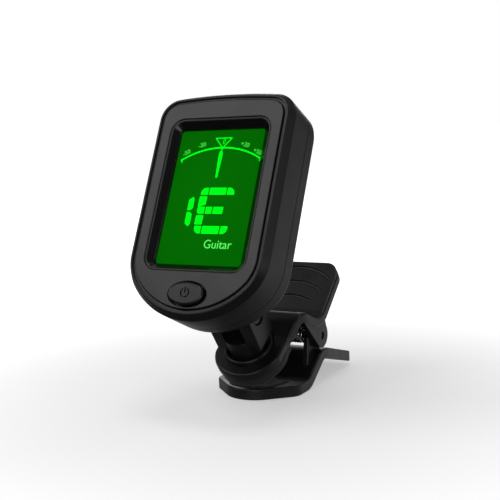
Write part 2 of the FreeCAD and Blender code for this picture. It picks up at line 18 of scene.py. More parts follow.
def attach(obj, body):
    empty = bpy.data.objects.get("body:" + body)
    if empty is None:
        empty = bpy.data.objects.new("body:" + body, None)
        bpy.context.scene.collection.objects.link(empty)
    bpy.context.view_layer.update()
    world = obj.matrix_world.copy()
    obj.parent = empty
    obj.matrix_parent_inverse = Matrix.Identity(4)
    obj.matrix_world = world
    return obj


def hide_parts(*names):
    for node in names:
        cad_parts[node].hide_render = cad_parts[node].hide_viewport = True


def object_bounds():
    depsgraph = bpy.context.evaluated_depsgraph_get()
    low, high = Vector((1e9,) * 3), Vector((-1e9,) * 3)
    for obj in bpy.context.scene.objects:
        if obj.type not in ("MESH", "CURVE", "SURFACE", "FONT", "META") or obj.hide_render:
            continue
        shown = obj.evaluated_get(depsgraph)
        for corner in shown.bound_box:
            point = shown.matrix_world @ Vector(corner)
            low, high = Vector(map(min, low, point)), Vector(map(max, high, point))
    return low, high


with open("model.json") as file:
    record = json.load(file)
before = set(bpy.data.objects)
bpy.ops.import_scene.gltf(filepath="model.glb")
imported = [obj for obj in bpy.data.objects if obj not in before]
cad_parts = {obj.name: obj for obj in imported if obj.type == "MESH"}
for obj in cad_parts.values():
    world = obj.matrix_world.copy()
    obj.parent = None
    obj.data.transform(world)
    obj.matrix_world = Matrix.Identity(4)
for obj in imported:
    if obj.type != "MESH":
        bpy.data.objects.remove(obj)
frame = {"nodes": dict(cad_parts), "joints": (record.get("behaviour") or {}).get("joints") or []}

cad_low, cad_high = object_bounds()
print("model box in mm", [round(v * 1000, 2) for v in cad_high - cad_low])

# %% [markdown]
# ## Where the head is
# The display head leans back, so its marks are easiest to draw in a frame of its own: x to the
# right, y up the face, z out of the face, with the origin in the middle of the face. The button
# is pressed straight into the face, so the direction of its travel gives the lean, and the tilt
# joint gives a point of the head that is known from the drawing of the casing.

# %% Frame of the head
MM = 0.001
TILT_PIN_IN_HEAD = (0.0, -16.5, -18.3)      # millimetres


def mm(*values):
    """Millimetres to a vector in metres."""
    return Vector(values) * MM


joints = {joint["name"]: joint for joint in frame["joints"]}
press = joints["button_press"]["axis"]
lean = math.atan2(press[1], -press[2])
tilt_pin = Vector(joints["head_tilt"]["pos_m"])
HEAD = Matrix.Translation(tilt_pin) @ Matrix.Rotation(lean, 4, "X")
HEAD = HEAD @ Matrix.Translation(-mm(*TILT_PIN_IN_HEAD))
print("the face leans", round(math.degrees(lean), 2), "degrees, middle at", HEAD.translation)

# %% [markdown]
# ## Camera
# Product pictures of small things are taken with a fairly long lens, so that the outline stays
# calm. The camera stands to the right of the front, level with the upper part of the head. It
# looks down by seven degrees and is rolled by two.

# %% Set the camera
LENS_MM = 69.26
scene = bpy.context.scene
camera_data = bpy.data.cameras.new("studio_camera")
camera_data.lens = LENS_MM
camera_data.sensor_width = 36.0
camera_data.clip_start = 0.01
camera = bpy.data.objects.new("studio_camera", camera_data)
camera.location = mm(95.05, -166.78, 54.07)
camera.rotation_euler = [math.radians(angle) for angle in (82.71, 2.21, 29.43)]
scene.collection.objects.link(camera)
scene.camera = camera
print("camera at", [round(v, 3) for v in camera.location], "m with a", LENS_MM, "mm lens")

# %% [markdown]
# ## Floor, light and surroundings
# Black plastic shows hardly any colour of its own. What makes it readable is what it mirrors,
# so everything round the object is chosen for its reflection.
#
# The floor does two things at once, which the Light Path node keeps apart. To the camera it is
# a pale sheet with a soft shadow, and it fades into the white background. To the object it is
# dark in front, so that it doesn't lighten the upper bezel and the sides of the casing, and it
# glows behind, which lights the right side of the casing, its chin and the edges of the jaws.

# %% Floor
FLOOR_RADIUS = 6.0
FLOOR_GAP = 0.00005      # the floor lies this far under the object, in metres
SEEN_FLOOR = 0.88        # the floor's grey to the camera
FELT_FLOOR = 0.10        # its grey to the object
BACK_GLOW = 0.36         # its glow to the object, from behind
BACK_START = 0.02        # the glow rises from this far in front of the middle to as far behind
FADE_FROM = 0.02         # metres from the middle at which the floor starts to turn white
FADE_TO = 0.16           # and where it is as white as the background
NEAR_GLOW = 0.42         # share of the background's white that the floor has close by


def lit_floor():
    """Pale floor that fades into the white background, and is dim where the object mirrors it."""
    material = bpy.data.materials.new("studio_floor")
    material.use_nodes = True
    nodes = material.node_tree.nodes
    links = material.node_tree.links
    shader = nodes["Principled BSDF"]
    shader.inputs["Roughness"].default_value = 0.9
    shader.inputs["Specular IOR Level"].default_value = 0.1
    shader.inputs["Emission Color"].default_value = (1, 1, 1, 1)
    path = nodes.new("ShaderNodeLightPath")
    grey = nodes.new("ShaderNodeMix")
    grey.data_type = "RGBA"
    grey.inputs["A"].default_value = (FELT_FLOOR, FELT_FLOOR, FELT_FLOOR, 1)
    grey.inputs["B"].default_value = (SEEN_FLOOR, SEEN_FLOOR, SEEN_FLOOR, 1)
    split = nodes.new("ShaderNodeSeparateXYZ")
    behind = nodes.new("ShaderNodeMapRange")
    behind.interpolation_type = "SMOOTHSTEP"
    behind.inputs["From Min"].default_value = -BACK_START
    behind.inputs["From Max"].default_value = BACK_START
    behind.inputs["To Max"].default_value = BACK_GLOW
    glow = nodes.new("ShaderNodeMix")
    links.new(path.outputs["Is Camera Ray"], grey.inputs["Factor"])
    links.new(grey.outputs["Result"], shader.inputs["Base Color"])
    place = nodes.new("ShaderNodeTexCoord")
    away = nodes.new("ShaderNodeVectorMath")
    away.operation = "LENGTH"
    fade = nodes.new("ShaderNodeMapRange")
    fade.interpolation_type = "SMOOTHSTEP"
    fade.inputs["From Min"].default_value = FADE_FROM
    fade.inputs["From Max"].default_value = FADE_TO
    fade.inputs["To Min"].default_value = NEAR_GLOW
    links.new(place.outputs["Object"], away.inputs[0])
    links.new(away.outputs["Value"], fade.inputs["Value"])
    links.new(place.outputs["Object"], split.inputs[0])
    links.new(split.outputs["Y"], behind.inputs["Value"])
    links.new(path.outputs["Is Camera Ray"], glow.inputs["Factor"])
    links.new(behind.outputs["Result"], glow.inputs["A"])
    links.new(fade.outputs["Result"], glow.inputs["B"])
    links.new(glow.outputs["Result"], shader.inputs["Emission Strength"])
    mottle = nodes.new("ShaderNodeTexNoise")
    mottle.inputs["Scale"].default_value = 40.0
    bump = nodes.new("ShaderNodeBump")
    bump.inputs["Strength"].default_value = 0.02
    links.new(mottle.outputs["Fac"], bump.inputs["Height"])
    links.new(bump.outputs["Normal"], shader.inputs["Normal"])
    return material


# %% Lay the floor
def make_floor():
    """Large round sheet just under the object."""
    mesh = bpy.data.meshes.new("floor")
    drawn = bmesh.new()
    bmesh.ops.create_circle(drawn, cap_ends=True, segments=96, radius=FLOOR_RADIUS)
    drawn.to_mesh(mesh)
    drawn.free()
    floor = bpy.data.objects.new("floor", mesh)
    floor.location.z = cad_low.z - FLOOR_GAP
    scene.collection.objects.link(floor)
    mesh.materials.append(lit_floor())
    return floor


make_floor()
print("floor of", FLOOR_RADIUS, "m radius, at", round(cad_low.z - FLOOR_GAP, 6), "m")

# %% [markdown]
# ### Panels
# Each panel is an area light that faces the object. Its direction is given as on a compass
# round the object, which is easier to change than coordinates. The note on each line below says
# what the panel lights.

# %% Soft panels
TARGET = (cad_low + cad_high) / 2


def soft_panel(name, azimuth, elevation, distance, width, height, brightness):
    """Area light that faces the object. Azimuth 0 is the front, and it grows to the right."""
    data = bpy.data.lights.new(name, "AREA")
    data.shape = "RECTANGLE"
    data.size = width
    data.size_y = height
    data.energy = brightness * math.pi * width * height
    a = math.radians(azimuth)
    e = math.radians(elevation)
    away = Vector((math.sin(a) * math.cos(e), -math.cos(a) * math.cos(e), math.sin(e)))
    panel = bpy.data.objects.new(name, data)
    panel.location = TARGET + away * distance
    panel.rotation_euler = (-away).to_track_quat("-Z", "Y").to_euler()
    scene.collection.objects.link(panel)
    return panel


# azimuth, elevation, distance, width, height, brightness
PANELS = {
    "panel_left": (-42, 44, 0.55, 0.50, 0.34, 1.6),         # front plate, button, thumb lever
    "panel_top": (20, 86, 0.60, 0.22, 0.22, 3.0),           # thumb lever, lower bezel, floor
    "panel_right": (76, 12, 0.60, 0.16, 0.22, 2.0),         # left bezel, casing's right chamfer
    "panel_low": (16, 2, 0.45, 0.30, 0.08, 4.0),            # upper left corner of the bezel, hinge
    "panel_back_left": (-150, 16, 0.60, 0.40, 0.20, 1.4),   # casing's top rim, front of the jaws
    "panel_back_right": (150, 30, 0.60, 0.30, 0.20, 0.6),   # faint, on the right of the casing
}
for panel_name, setting in PANELS.items():
    soft_panel(panel_name, *setting)
print("studio has", len(bpy.data.lights), "soft panels")

# %% [markdown]
# ### Background
# The world is plain white behind the object. The object itself feels a dim grey, because black
# plastic in an all-white room would look grey from every side.

# %% Surroundings
SEEN_WHITE = 1.0
FELT_GREY = 0.13


def surroundings():
    """White behind the object, and a dimmer grey that lights and mirrors in it."""
    world = bpy.data.worlds.new("studio")
    world.use_nodes = True
    nodes = world.node_tree.nodes
    links = world.node_tree.links
    backdrop = nodes["Background"]
    path = nodes.new("ShaderNodeLightPath")
    mix = nodes.new("ShaderNodeMix")
    mix.inputs["A"].default_value = FELT_GREY
    mix.inputs["B"].default_value = SEEN_WHITE
    links.new(path.outputs["Is Camera Ray"], mix.inputs["Factor"])
    links.new(mix.outputs["Result"], backdrop.inputs["Strength"])
    backdrop.inputs["Color"].default_value = (1, 1, 1, 1)
    return world


scene.world = surroundings()
scene.view_settings.view_transform = "Standard"
print("background", SEEN_WHITE, "to the camera and", FELT_GREY, "to the object")

# %% [markdown]
# ## Effects that several finishes share
# Moulded plastic and plated metal are never perfectly even. Five effects come back in several
# finishes here, so each is a node group, made once and placed with its own values:
# * `mould_grain` is the fine texture that the mould leaves,
# * `worn_and_highlit_edge` finds the edges, which are made a little lighter in colour, partly as wear
#   from handling and partly as a painted highlight,
# * `handling` is the broad, faint unevenness of fingers, and the dust,
# * `drawn_lines` is the fine lines along rolled and turned metal,
# * `fine_weave` is the faint lines under the gloss of the circuit board and the light guide.

# %% Helper for node groups
def new_group(name, inputs, outputs):
    """Empty shader node group with float inputs (name, value) and outputs (name, kind)."""
    group = bpy.data.node_groups.new(name, "ShaderNodeTree")
    for label, value in inputs:
        socket = group.interface.new_socket(label, in_out="INPUT", socket_type="NodeSocketFloat")
        socket.default_value = value
    for label, kind in outputs:
        group.interface.new_socket(label, in_out="OUTPUT", socket_type=kind)
    entry = group.nodes.new("NodeGroupInput")
    leave = group.nodes.new("NodeGroupOutput")
    return group, entry, leave


def node(tree, kind, settings=(), values=()):
    """New node in a tree, with attributes and constant socket values."""
    made = tree.nodes.new("ShaderNode" + kind)
    for label, value in settings:
        setattr(made, label, value)
    for label, value in values:
        made.inputs[label].default_value = value
    return made


# %% [markdown]
# ### Mould grain
# A mould for matt plastic is etched, and the plastic copies its shallow pits. A smooth Voronoi
# texture gives the pits, and a noise breaks up their even size.

# %% Mould grain
def mould_grain():
    """Height of the mould's texture. Scale is in repeats per metre."""
    group, entry, leave = new_group("mould_grain", [("Scale", 6000.0)], [("Height", "NodeSocketFloat")])
    links = group.links
    place = node(group, "TexCoord")
    fine = node(group, "TexNoise", values=[("Detail", 3.0), ("Roughness", 0.6)])
    pits = node(group, "TexVoronoi", [("feature", "SMOOTH_F1")], [("Smoothness", 0.6)])
    blend = node(group, "Math", [("operation", "MULTIPLY_ADD")], [(1, 0.5)])
    for texture in (fine, pits):
        links.new(place.outputs["Object"], texture.inputs["Vector"])
        links.new(entry.outputs["Scale"], texture.inputs["Scale"])
    links.new(pits.outputs["Distance"], blend.inputs[0])
    links.new(fine.outputs["Fac"], blend.inputs[2])
    links.new(blend.outputs[0], leave.inputs["Height"])
    return group


GRAIN = mould_grain()


# %% [markdown]
# ### Rubbed edges and painted edge highlight
# The Bevel node gives the normal that a slightly rounded edge would have. Where it differs from
# the real normal there is an edge. The difference is the mask, broken up by a noise, and the
# soft normal itself lets sharp edges catch a thin line of light. The finishes use the mask to
# paint their edges lighter, which is partly wear and partly a painted highlight.

# %% Rubbed edges and painted edge highlight
def worn_and_highlit_edge():
    """Mask of the edges, for wear and a painted highlight, and the normal of edges rounded to a radius
    in metres.
    """
    group, entry, leave = new_group(
        "worn_and_highlit_edge",
        [("Radius", 0.0003), ("Gain", 4.0)],
        [("Mask", "NodeSocketFloat"), ("Normal", "NodeSocketVector")],
    )
    links = group.links
    soft = node(group, "Bevel", [("samples", 6)])
    real = node(group, "NewGeometry")
    same = node(group, "VectorMath", [("operation", "DOT_PRODUCT")])
    turn = node(group, "Math", [("operation", "SUBTRACT")], [(0, 1.0)])
    lift = node(group, "Math", [("operation", "MULTIPLY"), ("use_clamp", True)])
    place = node(group, "TexCoord")
    breakup = node(group, "TexNoise", values=[("Scale", 900.0), ("Detail", 3.0)])
    worn = node(group, "Math", [("operation", "MULTIPLY"), ("use_clamp", True)])
    links.new(entry.outputs["Radius"], soft.inputs["Radius"])
    links.new(soft.outputs["Normal"], same.inputs[0])
    links.new(real.outputs["Normal"], same.inputs[1])
    links.new(same.outputs["Value"], turn.inputs[1])
    links.new(turn.outputs[0], lift.inputs[0])
    links.new(entry.outputs["Gain"], lift.inputs[1])
    links.new(place.outputs["Object"], breakup.inputs["Vector"])
    links.new(lift.outputs[0], worn.inputs[0])
    links.new(breakup.outputs["Fac"], worn.inputs[1])
    links.new(worn.outputs[0], leave.inputs["Mask"])
    links.new(soft.outputs["Normal"], leave.inputs["Normal"])
    return group


EDGE = worn_and_highlit_edge()


# %% [markdown]
# ### Handling
# Fingers change how rough the surface is in broad patches, and dust lies in rare small spots.
# The patches are a low noise, and the spots are the very top of a fine one.

# %% Handling marks
def handling():
    """Mask of the worn patches, and a mask of dust spots."""
    group, entry, leave = new_group(
        "handling", [("Scale", 120.0)], [("Mask", "NodeSocketFloat"), ("Dust", "NodeSocketFloat")]
    )
    links = group.links
    place = node(group, "TexCoord")
    broad = node(group, "TexNoise", values=[("Detail", 4.0), ("Distortion", 0.8)])
    spots = node(group, "TexNoise", values=[("Scale", 2600.0), ("Detail", 2.0)])
    rare = node(group, "MapRange", values=[("From Min", 0.70), ("From Max", 0.78)])
    links.new(entry.outputs["Scale"], broad.inputs["Scale"])
    for texture in (broad, spots):
        links.new(place.outputs["Object"], texture.inputs["Vector"])
    links.new(spots.outputs["Fac"], rare.inputs["Value"])
    links.new(broad.outputs["Fac"], leave.inputs["Mask"])
    links.new(rare.outputs["Result"], leave.inputs["Dust"])
    return group


HANDLING = handling()

# %% [markdown]
# ### Drawn lines and weave
# Both run in one direction. The lines come from a noise that is squeezed across the metal, and
# the weave is a wave with a little distortion.

# %% Drawn lines and weave
def drawn_lines():
    """Fine lines in one direction. Squeeze says how much the noise is pressed together per axis."""
    group, entry, leave = new_group("drawn_lines", [("Scale", 900.0)], [("Mask", "NodeSocketFloat")])
    even = group.interface.new_socket("Squeeze", in_out="INPUT", socket_type="NodeSocketVector")
    even.default_value = (1.0, 1.0, 1.0)
    links = group.links
    place = node(group, "TexCoord")
    squeeze = node(group, "VectorMath", [("operation", "MULTIPLY")])
    lines = node(group, "TexNoise", values=[("Detail", 4.0)])
    links.new(place.outputs["Object"], squeeze.inputs[0])
    links.new(entry.outputs["Squeeze"], squeeze.inputs[1])
    links.new(squeeze.outputs["Vector"], lines.inputs["Vector"])
    links.new(entry.outputs["Scale"], lines.inputs["Scale"])
    links.new(lines.outputs["Fac"], leave.inputs["Mask"])
    return group


def fine_weave():
    """Close wavy lines, as of glass fibre. Scale is in repeats per metre."""
    group, entry, leave = new_group("fine_weave", [("Scale", 900.0)], [("Mask", "NodeSocketFloat")])
    links = group.links
    place = node(group, "TexCoord")
    weave = node(group, "TexWave", values=[("Distortion", 1.5)])
    links.new(place.outputs["Object"], weave.inputs["Vector"])
    links.new(entry.outputs["Scale"], weave.inputs["Scale"])
    links.new(weave.outputs["Fac"], leave.inputs["Mask"])
    return group


LINES = drawn_lines()
WEAVE = fine_weave()
print("shared effects:", [g.name for g in bpy.data.node_groups])

# %% [markdown]
# ## Moulded plastics
# The casing, the front plate, the clip and the button are the same black plastic from moulds
# with different polish. One function makes them all: the colour is mixed from a dark body and a
# slightly lighter grey along the edges, partly wear and partly a painted highlight, the roughness
# drifts with handling, and the grain of the mould goes into the bump.

# %% Black plastic
def use_group(tree, group, values):
    """Places a shared effect in a material, with its own values."""
    made = tree.nodes.new("ShaderNodeGroup")
    made.node_tree = group
    for label, value in values:
        made.inputs[label].default_value = value
    return made


DUST_GREY = (0.11, 0.11, 0.11, 1)
DUST_SHARE = 0.10           # how much of the dust's colour a spot shows


def plastic(name, body, edge_wear_and_highlight, rough, rough_drift, grain_scale, grain_depth, edge=0.00025):
    """Moulded black plastic. body and rub are grey levels, rub painting the edges lighter as wear and
    as a painted highlight; grain_depth and edge are in metres.
    """
    material = bpy.data.materials.new(name)
    material.use_nodes = True
    tree = material.node_tree
    links = tree.links
    shader = tree.nodes["Principled BSDF"]
    shader.inputs["IOR"].default_value = 1.49
    edges = use_group(tree, EDGE, [("Radius", edge), ("Gain", 3.0)])
    grain = use_group(tree, GRAIN, [("Scale", grain_scale)])
    hands = use_group(tree, HANDLING, [("Scale", 130.0)])

    # The edges are painted a lighter grey: partly wear, partly a painted highlight of light caught by
    # the edge.
    colour = node(tree, "Mix", [("data_type", "RGBA")])
    colour.inputs["A"].default_value = (body, body, body * 1.04, 1)
    colour.inputs["B"].default_value = (edge_wear_and_highlight, edge_wear_and_highlight, edge_wear_and_highlight * 1.02, 1)
    links.new(edges.outputs["Mask"], colour.inputs["Factor"])
    dusty = node(tree, "Mix", [("data_type", "RGBA")])
    dusty.inputs["B"].default_value = DUST_GREY
    faint = node(tree, "Math", [("operation", "MULTIPLY")], [(1, DUST_SHARE)])
    links.new(hands.outputs["Dust"], faint.inputs[0])
    links.new(faint.outputs[0], dusty.inputs["Factor"])
    links.new(colour.outputs["Result"], dusty.inputs["A"])
    links.new(dusty.outputs["Result"], shader.inputs["Base Color"])

    drift = node(tree, "MapRange")
    drift.inputs["From Min"].default_value = 0.3
    drift.inputs["From Max"].default_value = 0.7
    drift.inputs["To Min"].default_value = rough - rough_drift
    drift.inputs["To Max"].default_value = rough + rough_drift
    links.new(hands.outputs["Mask"], drift.inputs["Value"])
    links.new(drift.outputs["Result"], shader.inputs["Roughness"])

    bump = node(tree, "Bump", values=[("Strength", 0.5), ("Distance", grain_depth)])
    links.new(grain.outputs["Height"], bump.inputs["Height"])
    links.new(edges.outputs["Normal"], bump.inputs["Normal"])
    links.new(bump.outputs["Normal"], shader.inputs["Normal"])
    return material


shell_black = plastic("shell_black", 0.012, 0.035, 0.36, 0.05, 9000.0, 0.000008)
plate_black = plastic("plate_black", 0.014, 0.030, 0.30, 0.04, 14000.0, 0.000002, 0.00012)
clip_black = plastic("clip_black", 0.010, 0.045, 0.32, 0.05, 7000.0, 0.000006, 0.0002)
button_black = plastic("button_black", 0.009, 0.022, 0.36, 0.04, 12000.0, 0.000003, 0.00012)
gloss_black = plastic("gloss_black", 0.0008, 0.001, 0.20, 0.02, 9000.0, 0.0000002, 0.0006)
plastics = (shell_black, plate_black, clip_black, button_black, gloss_black)
print("plastics:", [finish.name for finish in plastics])

# %% [markdown]
# ## Rubber
# The pads that touch the instrument are soft rubber. It scatters light more than the plastic,
# so it is rougher and slightly lighter, with a coarser grain that holds a little dust.

# %% Pad rubber
pad_rubber = plastic("pad_rubber", 0.020, 0.030, 0.72, 0.06, 3800.0, 0.00003, 0.0003)
pad_rubber.node_tree.nodes["Principled BSDF"].inputs["Sheen Weight"].default_value = 0.15
print("rubber finish:", pad_rubber.name)

# %% [markdown]
# ## Metals
# Pins, screws, the cell and its contacts are plated steel or brass. Turned and rolled metal has
# fine lines in one direction, so the shared lines drive the roughness and the bump.

# %% Plated metal
def metal(name, colour, rough, along, stretch=25.0, line_depth=0.000003):
    """Plated metal with fine lines. along is the direction of the lines: 0, 1 or 2 for x, y, z."""
    material = bpy.data.materials.new(name)
    material.use_nodes = True
    tree = material.node_tree
    links = tree.links
    shader = tree.nodes["Principled BSDF"]
    shader.inputs["Metallic"].default_value = 1.0
    edges = use_group(tree, EDGE, [("Radius", 0.00012), ("Gain", 2.0)])
    squeeze = [stretch, stretch, stretch]
    squeeze[along] = 1.0
    drawn = use_group(tree, LINES, [("Scale", 900.0), ("Squeeze", squeeze)])
    # The edges are tinted a quarter lighter through the shared edge mask: partly wear, partly a painted
    # highlight.
    tint = node(tree, "Mix", [("data_type", "RGBA")])
    tint.inputs["A"].default_value = (*colour, 1)
    tint.inputs["B"].default_value = (*[min(1.0, c * 1.25) for c in colour], 1)
    links.new(edges.outputs["Mask"], tint.inputs["Factor"])
    links.new(tint.outputs["Result"], shader.inputs["Base Color"])
    drift = node(tree, "MapRange")
    drift.inputs["To Min"].default_value = rough * 0.7
    drift.inputs["To Max"].default_value = rough * 1.4
    links.new(drawn.outputs["Mask"], drift.inputs["Value"])
    links.new(drift.outputs["Result"], shader.inputs["Roughness"])
    bump = node(tree, "Bump", values=[("Strength", 0.3), ("Distance", line_depth)])
    links.new(drawn.outputs["Mask"], bump.inputs["Height"])
    links.new(edges.outputs["Normal"], bump.inputs["Normal"])
    links.new(bump.outputs["Normal"], shader.inputs["Normal"])
    return material


steel = metal("steel", (0.50, 0.50, 0.51), 0.30, 0)
dark_steel = metal("dark_steel", (0.10, 0.10, 0.105), 0.34, 0)
spring_steel = metal("spring_steel", (0.62, 0.62, 0.64), 0.22, 0)
cell_steel = metal("cell_steel", (0.62, 0.62, 0.62), 0.28, 1)
contact_brass = metal("contact_brass", (0.72, 0.53, 0.24), 0.25, 1)
print("metals:", steel.name, dark_steel.name, spring_steel.name, cell_steel.name, contact_brass.name)

# %% [markdown]
# ## Circuit board and light guide
# They are hidden inside the casing, but each is a piece of its own that can be looked at alone.
# The board is green solder mask with a faint weave of glass fibre under it, and the light guide
# is milky plastic.

# %% Hidden materials
def coated(name, colour, second, rough, scale):
    """Two close tones in a fine weave, under an even gloss."""
    material = bpy.data.materials.new(name)
    material.use_nodes = True
    tree = material.node_tree
    links = tree.links
    shader = tree.nodes["Principled BSDF"]
    weave = use_group(tree, WEAVE, [("Scale", scale)])
    tone = node(tree, "Mix", [("data_type", "RGBA")])
    tone.inputs["A"].default_value = (*colour, 1)
    tone.inputs["B"].default_value = (*second, 1)
    hands = use_group(tree, HANDLING, [("Scale", 200.0)])
    drift = node(tree, "MapRange")
    drift.inputs["To Min"].default_value = rough * 0.8
    drift.inputs["To Max"].default_value = rough * 1.2
    links.new(weave.outputs["Mask"], tone.inputs["Factor"])
    links.new(tone.outputs["Result"], shader.inputs["Base Color"])
    links.new(hands.outputs["Mask"], drift.inputs["Value"])
    links.new(drift.outputs["Result"], shader.inputs["Roughness"])
    return material


board_green = coated("board_green", (0.012, 0.13, 0.05), (0.02, 0.17, 0.07), 0.3, 900.0)
light_guide = coated("light_guide", (0.60, 0.78, 0.60), (0.66, 0.82, 0.66), 0.4, 200.0)
print("hidden finishes:", board_green.name, light_guide.name)

# %% [markdown]
# ## Display panel
# The panel is a liquid crystal glass with a green lamp behind it. The lamp is brightest a little
# above the middle, and its light falls off towards the corners. The panel glows by itself,
# which is emission, and a faint cell pattern keeps it from looking painted. Both are laid out
# in the frame of the head, so that across and up are those of the face.

# %% Panel
PANEL_GREEN = (0.0012, 0.150, 0.0006)
MARK_GREEN = (0.0, 1.0, 0.012)
WORD_GREEN = (0.10, 0.80, 0.12)
LINE_GREEN = (0.06, 0.68, 0.07)
LAMP_CENTRE = mm(-1.0, 2.0, 0.0)
LAMP_SPREAD = (60.0, 40.0, 0.0)     # how fast the light falls off across and up, per metre
CELLS_PER_METRE = 5200.0


def head_coordinates(tree):
    """Coordinates in the frame of the head, in metres."""
    place = node(tree, "TexCoord")
    turned = node(tree, "Mapping", [("vector_type", "TEXTURE")])
    turned.inputs["Location"].default_value = HEAD.translation
    turned.inputs["Rotation"].default_value = (lean, 0, 0)
    tree.links.new(place.outputs["Object"], turned.inputs["Vector"])
    return turned.outputs["Vector"]


def glowing_panel():
    """Lit green panel that is a little darker towards its corners."""
    material = bpy.data.materials.new("display")
    material.use_nodes = True
    tree = material.node_tree
    links = tree.links
    shader = tree.nodes["Principled BSDF"]
    shader.inputs["Emission Strength"].default_value = 1.0
    shader.inputs["Base Color"].default_value = (0.0004, 0.004, 0.0004, 1)
    shader.inputs["Specular IOR Level"].default_value = 0.0
    where = head_coordinates(tree)
    centre = node(tree, "VectorMath", [("operation", "SUBTRACT")])
    centre.inputs[1].default_value = LAMP_CENTRE
    spread = node(tree, "VectorMath", [("operation", "MULTIPLY")])
    spread.inputs[1].default_value = LAMP_SPREAD
    away = node(tree, "VectorMath", [("operation", "LENGTH")])
    fall = node(tree, "MapRange", values=[("From Max", 0.9), ("To Min", 1.0), ("To Max", 0.80)])
    cells = node(tree, "TexVoronoi", [("distance", "CHEBYCHEV")], [("Randomness", 0.0)])
    cells.inputs["Scale"].default_value = CELLS_PER_METRE
    fine = node(tree, "MapRange", values=[("To Min", 1.02), ("To Max", 0.96)])
    both = node(tree, "Math", [("operation", "MULTIPLY")])
    glow = node(tree, "Mix", [("data_type", "RGBA")])
    glow.inputs["A"].default_value = (0, 0, 0, 1)
    glow.inputs["B"].default_value = (*PANEL_GREEN, 1)
    links.new(where, centre.inputs[0])
    links.new(centre.outputs[0], spread.inputs[0])
    links.new(spread.outputs[0], away.inputs[0])
    links.new(away.outputs["Value"], fall.inputs["Value"])
    links.new(where, cells.inputs["Vector"])
    links.new(cells.outputs["Distance"], fine.inputs["Value"])
    links.new(fall.outputs["Result"], both.inputs[0])
    links.new(fine.outputs["Result"], both.inputs[1])
    links.new(both.outputs[0], glow.inputs["Factor"])
    links.new(glow.outputs["Result"], shader.inputs["Emission Color"])
    hands = use_group(tree, HANDLING, [("Scale", 150.0)])
    drift = node(tree, "MapRange", values=[("To Min", 0.12), ("To Max", 0.22)])
    links.new(hands.outputs["Mask"], drift.inputs["Value"])
    links.new(drift.outputs["Result"], shader.inputs["Roughness"])
    return material


# %% Lit marks
def glowing_mark(name, colour, strength):
    """Lit part of the display. Its light drifts by a few percent along the mark."""
    material = bpy.data.materials.new(name)
    material.use_nodes = True
    tree = material.node_tree
    links = tree.links
    shader = tree.nodes["Principled BSDF"]
    shader.inputs["Base Color"].default_value = (0.0, 0.45, 0.0, 1)
    shader.inputs["Roughness"].default_value = 0.5
    shader.inputs["Specular IOR Level"].default_value = 0.0
    shader.inputs["Emission Strength"].default_value = strength
    hands = use_group(tree, HANDLING, [("Scale", 260.0)])
    tone = node(tree, "Mix", [("data_type", "RGBA")])
    tone.inputs["A"].default_value = (*[c * 0.93 for c in colour], 1)
    tone.inputs["B"].default_value = (*colour, 1)
    links.new(hands.outputs["Mask"], tone.inputs["Factor"])
    links.new(tone.outputs["Result"], shader.inputs["Emission Color"])
    return material


display = glowing_panel()
lit_mark = glowing_mark("lit_mark", MARK_GREEN, 1.0)
lit_line = glowing_mark("lit_line", LINE_GREEN, 1.0)
lit_word = glowing_mark("lit_word", WORD_GREEN, 1.0)
print("display finishes:", display.name, lit_mark.name, lit_line.name, lit_word.name)

# %% [markdown]
# ## Lens
# A clear window lies over the panel. It is thin and polished, so a plain glass shader with full
# transmission is right. Its index is set far below that of real glass, so that it mirrors next
# to nothing and the panel under it stays readable. A slight drift in roughness stands for the
# wiping of a cloth.

# %% Clear lens
LENS_INDEX = 1.02


def clear_glass():
    """Polished window with hardly any reflection."""
    material = bpy.data.materials.new("clear_lens")
    material.use_nodes = True
    tree = material.node_tree
    links = tree.links
    shader = tree.nodes["Principled BSDF"]
    shader.inputs["Transmission Weight"].default_value = 1.0
    shader.inputs["IOR"].default_value = LENS_INDEX
    shader.inputs["Base Color"].default_value = (0.97, 1.0, 0.97, 1)
    hands = use_group(tree, HANDLING, [("Scale", 180.0)])
    drift = node(tree, "MapRange", values=[("To Min", 0.0), ("To Max", 0.002)])
    links.new(hands.outputs["Mask"], drift.inputs["Value"])
    links.new(drift.outputs["Result"], shader.inputs["Roughness"])
    return material


clear_lens = clear_glass()
print("lens finish:", clear_lens.name)

# %% [markdown]
# ## Dress the parts
# Each part of the model gets its finish by name. Only its list of materials is changed, and the
# part itself is left alone.

# %% Finishes by part
FINISHES = {
    "front_shell": shell_black,
    "back_shell": shell_black,
    "battery_cap": shell_black,
    "front_plate": plate_black,
    "window_bezel": gloss_black,
    "power_button": button_black,
    "display_lens": clear_lens,
    "lcd_panel": display,
    "backlight": light_guide,
    "display_connector": pad_rubber,
    "circuit_board": board_green,
    "tuner_chip": gloss_black,
    "button_switch": steel,
    "battery_cell": cell_steel,
    "battery_contact_neg": contact_brass,
    "battery_contact_pos": contact_brass,
    "piezo_sensor": contact_brass,
    "case_screws": steel,
    "yoke": clip_black,
    "tilt_pin": dark_steel,
    "tilt_nut": dark_steel,
    "swivel_ring": clip_black,
    "swivel_washer": steel,
    "swivel_screw": steel,
    "upper_jaw": clip_black,
    "upper_pad": pad_rubber,
    "lower_jaw": clip_black,
    "lower_pad": pad_rubber,
    "hinge_pin": dark_steel,
    "torsion_spring": spring_steel,
}
for part, finish in FINISHES.items():
    shown = frame["nodes"][part].data.materials
    shown.clear()
    shown.append(finish)
print(len(FINISHES), "parts dressed, of", len(frame["nodes"]))

# %% [markdown]
# ## Spring
# The clip is shut by a close-wound spring of bright wire round the hinge pin. The mechanical
# model has it as one rigid part, so it is wound again here as two. The coil and the leg on the
# tail stay with the lower jaw. The last loop and the leg under the thumb lever turn with the
# upper jaw, and the loop lies right beside the coil, so the wire looks whole at every opening.

